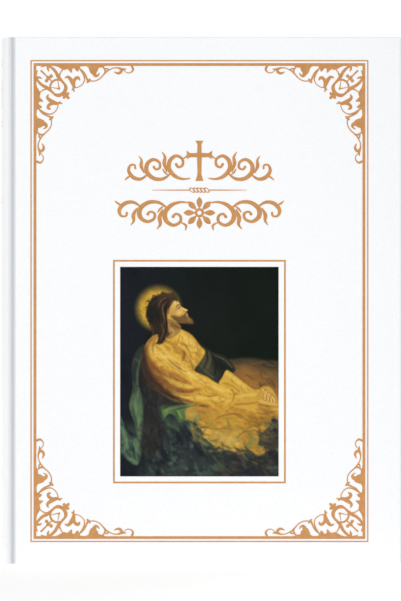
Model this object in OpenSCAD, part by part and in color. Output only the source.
// Large-print family Bible: a sewn, rounded text block in a hard case binding.
// The book stands on its tail edge. The front cover faces -Y, the spine is at -X, the head is up.
// Lengths "u" run across the book from the outermost point of the spine towards the fore-edge.
// Distances "v" run out from the mid plane of the book, and are used for both covers alike.

/* [Book] */
// Height of the covers, tail to head
book_h = 286; // [240:1:320]
// Width over the covers, spine to fore-edge
book_w = 217.6; // [190:0.2:240]
// Thickness over both covers
book_t = 46; // [40:1:60]
// How far the covers stand beyond the leaves at head, tail and fore-edge
square_w = 3.2; // [2:0.1:5]
// How deep the spine is rounded
round_depth = 3; // [2:0.1:4]

/* [Case] */
// Thickness of the leatherette covering
covering_t = 0.35; // [0.3:0.05:0.5]
// Thickness of the spine's card inlay
inlay_t = 0.8; // [0.5:0.1:1]
// How far the covering is turned in over the boards
turn_in = 15; // [8:1:20]
// Spine edge of the boards, from the outermost point of the spine
board_u = 9.5; // [8.5:0.1:12]
// Deepest line of the joint groove
groove_u = 6.6; // [6.2:0.1:7]

/* [Leaves] */
// Thickness of endpapers and of the single leaves
leaf_t = 0.25; // [0.15:0.05:0.3]
// Clearance between neighbouring leaves that turn
leaf_gap = 0.1; // [0.05:0.01:0.15]

/* [Foil and picture] */
// Thickness of the foil above the covering
foil_t = 0.1; // [0.05:0.01:0.15]
// Width of the thick border rule, between centre lines
border_w = 178.5; // [150:0.1:185]
// Height of the thick border rule, between centre lines
border_h = 256.7; // [220:0.1:265]
// Height of the border's centre above the tail
border_z = 142.7; // [140:0.1:146]
// Width of the thick border rule's line
border_line = 1.5; // [0.6:0.1:2]
// Centre line of all the cover's ornament
panel_u = 108.2; // [100:0.1:115]
// Width of the picture
picture_w = 85.9; // [60:0.1:100]
// Height of the picture
picture_h = 113.6; // [80:0.1:130]
// Height of the picture's centre above the tail
picture_z = 104.4; // [80:0.1:140]
// Height of the upper ornament's foot above the tail
title_z = 207.9; // [190:0.1:230]
// Height of the lower ornament's foot above the tail
subtitle_z = 180.2; // [170:0.1:184]
// Height of the thin divider above the tail
divider_z = 202.9; // [195:0.1:215]
// Half width of the ornament on the spine
spine_foil_v = 6; // [5:0.5:18]

/* [Hidden] */
LEATHERETTE = [0.97, 0.975, 0.985];
FOIL = [0.78, 0.6, 0.42];
PAPER = [0.95, 0.93, 0.87];
ENDPAPER = [0.9, 0.86, 0.76];
BOARD = [0.55, 0.53, 0.5];
CLOTH = [0.93, 0.92, 0.88];
GOLD_WHITE = [0.95, 0.86, 0.6];
PICTURE = [0.12, 0.15, 0.12];

half_t = book_t / 2;
cover_v = half_t - foil_t;            // outer face of the covering
board_out = cover_v - covering_t;     // outer face of a board
pastedown_v = half_t - 3.25;          // inner face of a pastedown
board_in = pastedown_v + leaf_t + covering_t;
leaf_v = pastedown_v - leaf_gap;      // outer face of a flyleaf
leaf_step = leaf_t + leaf_gap;
block_v = leaf_v - 2 * leaf_step;     // outer face of the first signature
middle_v = leaf_step + leaf_gap;      // inner face of the middle signatures
block_z = square_w;
block_h = book_h - 2 * square_w;
leaf_root_u = 5.6;                    // spine edge of the leaves beside the covers
paste_edge = square_w + 0.3;          // pastedowns end this far from the covers' edges
paste_fill = turn_in + 0.2;           // and fill the boards' middle inside this margin

shoulder_v = half_t - 3.3;            // where the rounding meets the hinge lines
block_r = (shoulder_v * shoulder_v + round_depth * round_depth) / (2 * round_depth);
block_u = 2.3;                        // outermost point of the sewn spine
middle_root_u = block_u + 0.5;        // spine edge of the leaves in the middle
page_w = book_w - square_w - block_u - round_depth;

side_signatures = 12;                 // sewn sections on each side of the mid plane
signature_t = (block_v - middle_v) / side_signatures;
signature_play = 0.03;
fold_depth = 0.5;                     // how far a section's fold is rounded
fold_steps = 6;

shell_u = foil_t;                     // outermost point of the spine's covering
lip_v = half_t - 1.4;                 // where the covering turns into the joint
lip_depth = 3.3;
shell_r = (lip_v * lip_v + lip_depth * lip_depth) / (2 * lip_depth);
case_t = 2 * covering_t + inlay_t;    // spine's case where it is turned in
skin_v = lip_v - covering_t - 0.05;   // side edges of the spine's covering
inlay_v = half_t - 3.1;               // side edges of the inlay and of what is turned in
groove_v = half_t - 2.45;             // outer face of the covering at the groove's floor
groove_steps = 8;
joint_play = 0.02;                    // between neighbouring strips of covering
fold_u = 5.8;                         // spine edge of the endpaper's fold
fold_t = 0.2;
fold_v = leaf_v + 0.05;               // inner face of the endpaper's fold
fold_play = 0.1;                      // between the fold and the board

lining_v = shoulder_v - 0.8;          // side edges of the spine's linings
lining_edge = 14;                     // linings end this far from head and tail
tape_t = 0.15;
tape_w = 12;
TAPES_Z = [48, 108, 168, 228];
mull_t = 0.2;
liner_t = 0.2;
tape_r = block_r + tape_t;
mull_r = tape_r + tape_t;
liner_r = mull_r + mull_t;
band_roll_r = 1.1;
band_sunk = 0.7;                      // how far the band's roll lies inside the block's edge
band_lift = 1.2;                      // how far the roll's centre stands above the leaves
band_strip = 13;                      // the band's glued strip ends this far from the edge

picture_pocket = 0.2;                 // depth of the picture's sunk panel
pocket_play = 0.2;
picture_t = 0.15;
frame_gap = [6.9, 6.7];               // picture rule, between centre lines, beyond the picture
frame_line = 0.9;
rule_gap = 2.1;                       // between the border's thick and thin rules
thin_line = 0.65;
SPINE_RULES_Z = [13.4, 48, 196, 238, 271.4];
SPINE_PAIR = [[0, 1.2], [2.4, 0.6]];  // height above the pair's foot, and width, of its rules
spine_pair_h = 3;
spine_cross_h = 16;

ROUND = 360;
CURVE_STEPS = 3;
merge_play = 0.02;

// ---- Curves ----

// Depth of a round spine of radius r, at distance v from its crown
function crown_drop(r, v) = r - sqrt(r * r - v * v);

// The sewn spine's back, and the fore-edge that follows it
function spine_u(v) = block_u + crown_drop(block_r, v);
function fore_u(v) = spine_u(v) + page_w;

// One point of a smooth curve through four neighbouring knots
function between(a, b, c, d, t) =
    (2 * b + (c - a) * t + (2 * a - 5 * b + 4 * c - d) * t * t
     + (3 * b - a - 3 * c + d) * t * t * t) / 2;

// A smooth curve through knots [across, up, half width]
function smooth(knots) = [
    for (i = [0 : len(knots) - 2])
        for (k = [0 : CURVE_STEPS - 1])
            between(knots[max(i - 1, 0)], knots[i], knots[i + 1],
                    knots[min(i + 2, len(knots) - 1)], k / CURVE_STEPS),
    knots[len(knots) - 1]
];

// Unit direction of a curve at one of its points
function heading(q, i) =
    let (v = q[min(i + 1, len(q) - 1)] - q[max(i - 1, 0)], flat = [v[0], v[1]])
    flat / norm(flat);

// The point that lies a half width to one side of a curve
function beside(q, i, side) =
    let (h = heading(q, i))
    [q[i][0] - side * h[1] * q[i][2], q[i][1] + side * h[0] * q[i][2]];

// A swelling line through knots [across, up, half width], with round ends
module stroke(knots) {
    q = smooth(knots);
    last = len(q) - 1;
    polygon([
        for (i = [0 : last]) beside(q, i, 1),
        for (i = [last : -1 : 0]) beside(q, i, -1)
    ]);
    for (end = [q[0], q[last]])
        translate([end[0], end[1]]) circle(r = end[2], $fn = 10);
}

// ---- Places ----

// The frame's X from the spine's outermost point
module place() translate([-book_w / 2, 0, 0]) children();

// Draws for the back side; the front side is its mirror image
module on_side(front) place() mirror([0, front ? 1 : 0, 0]) children();

// A block between two corners given as [u, v, z]
module block(low, high) translate(low) cube(high - low);

// A flat design of the front cover, from distance v outwards by t
module on_front(v, t) place() translate([0, -v, 0]) rotate([90, 0, 0])
    linear_extrude(t) children();

// One clean outline from overlapping shapes
module merged() offset(delta = merge_play) children();

module frame_2d(w, h, line) difference() {
    square([w + line, h + line], center = true);
    square([w - line, h - line], center = true);
}

// ---- Covers ----

module board(front) color(BOARD) on_side(front)
    block([board_u, board_in, covering_t],
          [book_w - covering_t, board_out, book_h - covering_t]);

// The covering folds over the head, tail and fore-edge, and is turned in inside
module covering(front) color(LEATHERETTE) on_side(front) difference() {
    block([board_u, board_in - covering_t, 0], [book_w, cover_v, book_h]);
    block([board_u - 1, board_in, covering_t],
          [book_w - covering_t, board_out, book_h - covering_t]);
    block([board_u - 1, board_in - 2 * covering_t, turn_in],
          [book_w - turn_in, board_in + covering_t, book_h - turn_in]);
    if (front)
        translate([panel_u, cover_v + 1, picture_z]) rotate([90, 0, 0])
            linear_extrude(1 + picture_pocket)
                square([picture_w, picture_h] + [2, 2] * pocket_play, center = true);
}

// The pastedown lies over the turned-in edges and fills the space between them
module pastedown(front) color(ENDPAPER) on_side(front) {
    block([board_u, pastedown_v, paste_edge],
          [book_w - paste_edge, pastedown_v + leaf_t, book_h - paste_edge]);
    block([board_u, pastedown_v + leaf_t / 2, paste_fill],
          [book_w - paste_fill, board_in, book_h - paste_fill]);
}

// ---- Joints between the spine and the covers ----

// A smooth step from 0 to 1
function ease(t) = (1 - cos(180 * t)) / 2;

// Covering of constant thickness between two points [u, v]
module joint_strip(from, to) {
    outer = [for (i = [0 : groove_steps])
        let (t = i / groove_steps)
        [from[0] + (to[0] - from[0]) * t, from[1] + (to[1] - from[1]) * ease(t)]];
    linear_extrude(book_h) polygon(concat(
        outer, [for (i = [groove_steps : -1 : 0]) outer[i] - [0, covering_t]]));
}

module joint_covering(front) color(LEATHERETTE) on_side(front)
    joint_strip([shell_u + lip_depth, lip_v], [groove_u, groove_v]);

module groove_covering(front) color(LEATHERETTE) on_side(front)
    joint_strip([groove_u + joint_play, groove_v], [board_u - joint_play, cover_v]);

module endpaper_joint(front) color(ENDPAPER) on_side(front)
    block([fold_u, fold_v, block_z], [board_u - fold_play, fold_v + fold_t, block_z + block_h]);

// ---- Spine ----

// Part of an upright shell that is centred behind the crown at crown_u
module arc_shell(crown_u, r_out, r_in, v_max, z_low, z_high) {
    centre_u = crown_u + r_out;
    place() intersection() {
        translate([centre_u, 0, z_low]) difference() {
            cylinder(h = z_high - z_low, r = r_out, $fn = ROUND);
            translate([0, 0, -1]) cylinder(h = z_high - z_low + 2, r = r_in, $fn = ROUND);
        }
        block([-1, -v_max, z_low - 1], [centre_u / 4, v_max, z_high + 1]);
    }
}

// The full thickness of the spine's case between two distances from its outer face
module case_layer(depth_out, depth_in, v_max, z_edge)
    arc_shell(shell_u + depth_out, shell_r - depth_out, shell_r - depth_in, v_max,
              z_edge, book_h - z_edge);

module spine_inlay() color(BOARD)
    case_layer(covering_t, covering_t + inlay_t, inlay_v, covering_t);

// The covering is folded over the inlay at head and tail, and turned in
module spine_covering() color(LEATHERETTE) {
    case_layer(0, covering_t, skin_v, 0);
    difference() {
        case_layer(covering_t / 2, case_t, inlay_v, 0);
        case_layer(covering_t, covering_t + inlay_t, inlay_v + 1, covering_t);
        case_layer(case_t - 1.3 * covering_t, case_t + covering_t, inlay_v + 1, turn_in);
    }
}

// Pairs of short gold rules across the spine, and a cross between the upper pairs
module spine_foil_rules() color(FOIL) {
    for (z = SPINE_RULES_Z, rule = SPINE_PAIR)
        arc_shell(0, shell_r + foil_t, shell_r, spine_foil_v,
                  z + rule[0], z + rule[0] + rule[1]);
    cross_z = (SPINE_RULES_Z[3] + SPINE_RULES_Z[4] + spine_pair_h - spine_cross_h) / 2;
    intersection() {
        arc_shell(0, shell_r + foil_t, shell_r, spine_foil_v, SPINE_RULES_Z[3], book_h);
        translate([0, 0, cross_z]) rotate([90, 0, -90])
            linear_extrude(book_w) merged() cross_2d(spine_cross_h);
    }
}

// A lining of the sewn spine between two radii about the block's centre
module lining(r_out, r_in, z_low, z_high)
    arc_shell(block_u + block_r - r_out, r_out, r_in, lining_v, z_low, z_high);

module sewing_tapes() color(CLOTH)
    for (z = TAPES_Z) lining(mull_r, tape_r, z, z + tape_w);

module mull() color(CLOTH) lining(liner_r, mull_r, lining_edge, book_h - lining_edge);

module spine_liner() color(PAPER)
    lining(liner_r + liner_t, liner_r, lining_edge, book_h - lining_edge);

// A cord along the block's edge, on a strip that is glued behind the signatures
module band(z_roll, z_strip) color(GOLD_WHITE) {
    half_angle = asin(lining_v / block_r);
    translate([block_u + block_r - book_w / 2, 0, 0]) rotate([0, 0, 180 - half_angle])
        rotate_extrude(angle = 2 * half_angle, $fn = ROUND) {
            translate([block_r - band_sunk, z_roll]) circle(r = band_roll_r, $fn = 32);
            translate([tape_r, min(z_strip, z_roll)]) square([tape_t, abs(z_roll - z_strip)]);
        }
}

module headband() band(book_h - square_w + band_lift, book_h - band_strip);
module tailband() band(square_w - band_lift, band_strip);

// ---- Text block ----

// Outer face of signature i, counted from the mid plane outwards
function signature_v(i) = middle_v + i * signature_t;

// A folded section: round at the fold, and sheared to follow the rounded spine
module signature(front, i) color(PAPER) on_side(front) {
    low = signature_v(i);
    high = low + signature_t - signature_play;
    fold = [for (k = [0 : fold_steps])
        let (t = 2 * k / fold_steps - 1, v = (low + high) / 2 + t * (high - low) / 2)
        [spine_u(v) + fold_depth * (1 - sqrt(max(0, 1 - t * t))), v]];
    translate([0, 0, block_z]) linear_extrude(block_h) polygon(concat(
        fold, [[fore_u(high), high], [fore_u(low), low]]));
}

// A single leaf whose outer face lies at distance v
module leaf(front, v, root_u, tint) color(tint) on_side(front)
    block([root_u, v - leaf_t, block_z], [fore_u(v), v, block_z + block_h]);

module front_flyleaf() leaf(true, leaf_v, leaf_root_u, ENDPAPER);
module presentation_leaf() leaf(true, leaf_v - leaf_step, leaf_root_u, PAPER);
module family_record_leaf() leaf(true, leaf_step, middle_root_u, PAPER);
module keepsake_leaf() leaf(false, leaf_step, middle_root_u, PAPER);
module map_leaf() leaf(false, leaf_v - leaf_step, leaf_root_u, PAPER);
module back_flyleaf() leaf(false, leaf_v, leaf_root_u, ENDPAPER);

// ---- Border and corners ----

module front_border_rules() color(FOIL) on_front(cover_v, foil_t)
    translate([panel_u, border_z]) {
        frame_2d(border_w, border_h, border_line);
        frame_2d(border_w + 2 * rule_gap, border_h + 2 * rule_gap, thin_line);
    }

// Strokes of half a corner, as knots [along the rule, away from it, half width]
CORNER_STROKES = [
    // arm from the rule past the ring to the crown
    [[7.7, 0.8, 0.6], [9.4, 2, 0.7], [11.4, 4.2, 0.8], [12.7, 6.7, 0.9],
     [14.8, 9.2, 0.65], [16.7, 11.3, 0.55], [17.2, 12.9, 0.5], [16.6, 14.6, 0.6]],
    [[15.4, 2.4, 0.3], [14, 4.2, 0.3], [13.2, 6.2, 0.5]],
    // lobe beside the stem
    [[6.9, 7.3, 0.5], [7.9, 7.3, 0.4], [8.8, 6.4, 0.7]],
    // hooked leaf beside the corner
    [[7.3, 0.8, 0.8], [7, 2.2, 0.6], [7.5, 3.5, 0.3]],
    // first scroll, with its leaf, bud and tendril
    [[21.2, 14.7, 0.3], [20.9, 13.2, 0.5], [21.1, 11.6, 0.9], [20.3, 9.6, 1.1],
     [19.1, 7.7, 0.95], [17.8, 6.7, 0.7], [16.4, 7.2, 0.3]],
    [[21, 11.2, 0.8], [21.3, 8.8, 0.8], [22.3, 7.4, 0.85], [23.6, 7.2, 0.8],
     [24.2, 8.3, 0.4]],
    [[21.2, 12.5, 0.3], [23.4, 12.3, 0.25], [25.7, 10.8, 0.25], [26.9, 8.6, 0.3],
     [26.7, 6.5, 0.4], [25.8, 4.5, 0.4], [24.7, 2.9, 0.35], [23.8, 1.2, 0.4]],
    // second scroll, with its knob and tendril
    [[24.3, 2.2, 0.3], [26.4, 4, 0.35], [27.6, 6.2, 0.4], [28.3, 7.9, 0.5], [29, 9, 0.8]],
    [[28.8, 8.6, 0.35], [31, 9, 0.3], [33.3, 8.7, 0.28], [35.5, 7.4, 0.3],
     [37.2, 5.5, 0.35], [38.2, 4.2, 0.55], [37.8, 2.6, 0.4], [36.7, 1.2, 0.4]],
    // broad leaf that hangs from the rule
    [[31.8, 0.6, 1.9], [31.9, 2.9, 1.5], [32.2, 5, 1.2], [33.2, 6.3, 0.75],
     [34.4, 5.7, 0.4], [34.9, 4.7, 0.25]],
    [[29.3, 1, 0.5], [30.2, 2.7, 0.8], [30.8, 4.4, 0.7]],
    [[33.8, 0.8, 0.9], [33.7, 2.3, 0.7], [33.5, 3.6, 0.4]],
    // tail with its curled leaf and end hook
    [[38.2, 4.2, 0.5], [40.2, 3, 0.32], [42.4, 2, 0.28], [45, 1.8, 0.4],
     [47, 2.6, 0.75], [49.5, 2.5, 0.2]],
    [[47.4, 2.8, 0.5], [46.5, 4.2, 0.75], [44.9, 4.8, 0.6], [43, 4, 0.2]],
    [[48.4, 3.3, 0.2], [50.1, 4.5, 0.25], [52, 4.3, 0.3], [53.3, 2.8, 0.55],
     [52.7, 1.2, 0.6], [52.5, 0.3, 0.5]],
    [[40.4, 3, 0.3], [39.2, 2.3, 0.4], [37.8, 2.2, 0.3]]
];

// Edge of the solid base under the rule, scalloped between the scrolls
BASE_EDGE = [
    [4.2, 0], [3, 1.6], [6, 0.9], [10.4, 0.7], [12.4, 1.2], [14.3, 2.4], [15.8, 3],
    [17.6, 2.5], [18.7, 3.4], [19.4, 4.3], [20.1, 3.7], [20.3, 2.2], [21.4, 2],
    [22.4, 3.4], [23.4, 3.9], [24, 2.2], [24.6, 1], [27.4, 0.8], [29.2, 1.6],
    [35.6, 1.7], [37.2, 1.2], [39, 0.5], [40, 0]
];

// Round buds, as [along, away, radius]
BUDS = [
    [17.9, 15.8, 0.8], [16.3, 16.3, 1.3], [17.4, 17.4, 0.9], [18.1, 18.1, 0.75],
    [20.3, 13.6, 0.45], [8.8, 6.3, 0.95], [7, 7, 0.9], [19.9, 4.1, 0.35],
    [29.8, 8.1, 0.5], [28.4, 9.7, 0.45]
];

ring_at = [12.3, 12.3];

module corner_half() {
    for (knots = CORNER_STROKES) stroke(knots);
    for (bud = BUDS) translate([bud[0], bud[1]]) circle(r = bud[2], $fn = 14);
    polygon(concat([[0, 0]], BASE_EDGE));
    // spray inside the ring
    stroke([[13.2, 13.2, 0.5], [12.9, 11.6, 0.25], [12.4, 9, 0.18]]);
}

module corner_2d() {
    corner_half();
    mirror([1, -1]) corner_half();
    translate(ring_at) difference() {
        circle(r = 4.6, $fn = 36);
        circle(r = 3.55, $fn = 36);
    }
    stroke([[3.4, 3.4, 0.5], [6.4, 6.4, 0.35], [9.3, 9.3, 0.3]]);
}

module front_corner_ornaments() color(FOIL) on_front(cover_v, foil_t)
    translate([panel_u, border_z]) for (x = [0, 1], z = [0, 1])
        mirror([x, 0]) mirror([0, z]) translate([-border_w / 2, -border_h / 2])
            merged() intersection() {
                corner_2d();
                translate([1, 1] * (border_line / 2 + 2 * merge_play)) square(60);
            }

// ---- Ornament above the picture ----

// Right half of a scroll band, as knots [across, up, half width]
SCROLL_BAND = [
    // first scroll
    [[5.2, 1.4, 0.3], [9, 1, 0.6], [13.4, 2.6, 1], [16.6, 6.6, 1.2], [16, 11.2, 1.1],
     [12.6, 13.6, 0.85], [9.3, 11.8, 0.7], [9.2, 8.6, 0.7], [11.4, 7.4, 0.6],
     [12.7, 9, 0.75]],
    [[8.6, 12.2, 0.3], [6.4, 13.8, 0.6], [6.8, 16.2, 0.2]],
    // second scroll
    [[15.8, 4, 0.4], [19.6, 1.2, 0.8], [24.6, 1.2, 1.05], [28.6, 4.6, 1.2],
     [28.6, 9, 1.1], [25.4, 11.6, 0.85], [22, 10.2, 0.7], [21.6, 7.2, 0.65],
     [23.8, 6.2, 0.55], [24.9, 7.6, 0.7]],
    // leaf between the scrolls
    [[17.8, 5, 0.3], [19.2, 9.4, 1], [18.8, 13, 0.7], [20.4, 15.6, 0.2]],
    [[17.6, 3.6, 0.3], [18.9, 4.6, 0.5], [20, 6.4, 0.3]],
    // end leaf with its curled tip
    [[28.4, 3.4, 0.4], [32, 1, 0.8], [36, 1.8, 1.05], [38.6, 5.2, 0.9],
     [37.8, 8.4, 0.6], [35.4, 8.6, 0.5], [35, 6.8, 0.55]],
    [[30.2, 4.4, 0.3], [31.8, 8, 0.95], [31.6, 11.2, 0.6], [33, 13.4, 0.2]],
    [[37.4, 3, 0.4], [39.4, 1.6, 0.5], [40.6, 0.4, 0.2]]
];

// A band of scrolls, mirrored about its middle and stretched to its width
module scroll_band(w) {
    natural_w = 81.4;
    for (side = [0, 1]) mirror([side, 0]) scale([w / natural_w, 1])
        for (knots = SCROLL_BAND) stroke(knots);
}

// A plain Latin cross with flared arms
module cross_2d(h) {
    arm = h * 0.3;
    waist = h * 0.06;
    flare = h * 0.1;
    heart = h * 0.64;
    for (tip = [[0, 0], [0, h], [-arm, heart], [arm, heart]]) {
        along = [0, heart] - tip;
        side = [along[1], -along[0]] / norm(along);
        inner = [0, heart] + along / norm(along) * waist;
        polygon([tip - side * flare, tip + side * flare,
                 tip + along * 0.25 + side * waist * 0.8, inner + side * waist,
                 inner - side * waist, tip + along * 0.25 - side * waist * 0.8]);
    }
}

module upper_ornament() color(FOIL) on_front(cover_v, foil_t)
    translate([panel_u, title_z]) merged() {
        cross_2d(21.8);
        scroll_band(80.9);
    }

// An eight-petalled rosette
module rosette_2d(r) {
    difference() {
        circle(r = r * 0.3, $fn = 24);
        circle(r = r * 0.14, $fn = 24);
    }
    for (turn = [0 : 45 : 315]) rotate(turn)
        stroke([[r * 0.32, 0, r * 0.04], [r * 0.6, 0, r * 0.17], [r * 0.82, 0, r * 0.16],
                [r, 0, r * 0.03]]);
}

module lower_ornament() color(FOIL) on_front(cover_v, foil_t)
    translate([panel_u, subtitle_z]) merged() {
        translate([0, 10.4]) rosette_2d(8.4);
        translate([0, 17]) mirror([0, 1]) translate([0, -0.2]) scroll_band(91.7);
    }

// A thin line that carries a small plait in its middle
module divider_ornament() color(FOIL) on_front(cover_v, foil_t)
    translate([panel_u, divider_z]) {
        plait_w = 11;
        merged() for (side = [0, 1]) mirror([side, 0])
            polygon([[plait_w / 2 - 0.3, 0.3], [14, 0.26], [25.6, 0.12], [25.6, -0.12],
                     [14, -0.26], [plait_w / 2 - 0.3, -0.3]]);
        merged() for (x = [-3.9 : 1.95 : 3.9]) translate([x, 0]) rotate(-35)
            difference() {
                scale([1.75, 1]) circle(r = 1.1, $fn = 20);
                scale([1.75, 1]) circle(r = 0.68, $fn = 20);
            }
    }

// ---- Picture ----

module picture_frame_rule() color(FOIL) on_front(cover_v, foil_t)
    translate([panel_u, picture_z])
        frame_2d(picture_w + frame_gap[0], picture_h + frame_gap[1], frame_line);

module picture_plate() color(PICTURE) on_front(cover_v - picture_pocket, picture_t)
    translate([panel_u, picture_z]) square([picture_w, picture_h], center = true);

board(true);  // front_board
covering(true);  // front_covering
pastedown(true);  // front_pastedown
front_border_rules();
front_corner_ornaments();
upper_ornament();
lower_ornament();
divider_ornament();
picture_frame_rule();
picture_plate();
spine_inlay();
spine_covering();
spine_foil_rules();
spine_liner();
mull();
sewing_tapes();
headband();
tailband();
joint_covering(true);  // front_joint_covering
groove_covering(true);  // front_groove_covering
endpaper_joint(true);  // front_endpaper_joint
joint_covering(false);  // back_joint_covering
groove_covering(false);  // back_groove_covering
endpaper_joint(false);  // back_endpaper_joint
signature(true, 11);  // signature_01
signature(true, 10);  // signature_02
signature(true, 9);  // signature_03
signature(true, 8);  // signature_04
signature(true, 7);  // signature_05
signature(true, 6);  // signature_06
signature(true, 5);  // signature_07
signature(true, 4);  // signature_08
signature(true, 3);  // signature_09
signature(true, 2);  // signature_10
signature(true, 1);  // signature_11
signature(true, 0);  // signature_12
signature(false, 0);  // signature_13
signature(false, 1);  // signature_14
signature(false, 2);  // signature_15
signature(false, 3);  // signature_16
signature(false, 4);  // signature_17
signature(false, 5);  // signature_18
signature(false, 6);  // signature_19
signature(false, 7);  // signature_20
signature(false, 8);  // signature_21
signature(false, 9);  // signature_22
signature(false, 10);  // signature_23
signature(false, 11);  // signature_24
front_flyleaf();
presentation_leaf();
family_record_leaf();
keepsake_leaf();
map_leaf();
back_flyleaf();
board(false);  // back_board
covering(false);  // back_covering
pastedown(false);  // back_pastedown
